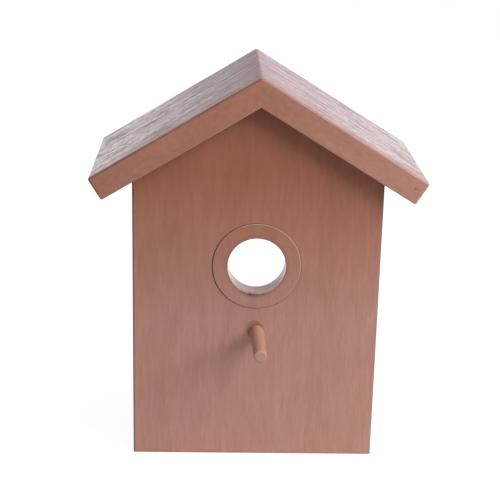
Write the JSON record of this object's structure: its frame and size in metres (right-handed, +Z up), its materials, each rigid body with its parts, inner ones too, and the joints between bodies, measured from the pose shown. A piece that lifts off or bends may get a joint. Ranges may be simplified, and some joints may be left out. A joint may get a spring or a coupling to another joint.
{
  "type": "breeding nest box",
  "caption": "Small gabled timber nest box for birds, with a ringed round entrance over a perch, an overhanging mitred roof, a clear back pane and a keyhole to hang it by.",
  "frame": {"origin": "centre of the base, on the underside of the floor board", "axes": "+Z up, the front with the entrance and perch faces -Y, +X to the right seen from the front"},
  "size_m": [0.1784, 0.122, 0.2162],
  "materials": {
    "wall_boards": "red-brown stained timber, planed smooth, satin, fine upright grain",
    "roof_boards": "red-brown stained timber, deeply grained top with a silvery satin sheen, smooth edges",
    "entrance_ring": "red-brown stained timber, planed smooth, satin",
    "perch": "red-brown stained dowel, satin",
    "pane_beads": "red-brown stained timber strip, satin",
    "clear_pane": "clear acrylic sheet"
  },
  "bodies": {
    "root": {"front_wall": "wall_boards", "left_wall": "wall_boards", "right_wall": "wall_boards", "floor_board": "wall_boards", "back_gable": "wall_boards", "roof_left": "roof_boards", "roof_right": "roof_boards", "entrance_ring": "entrance_ring", "perch": "perch", "back_pane": "clear_pane", "bead_left": "pane_beads", "bead_right": "pane_beads", "bead_top": "pane_beads", "bead_bottom": "pane_beads"}
  },
  "joints": []
}
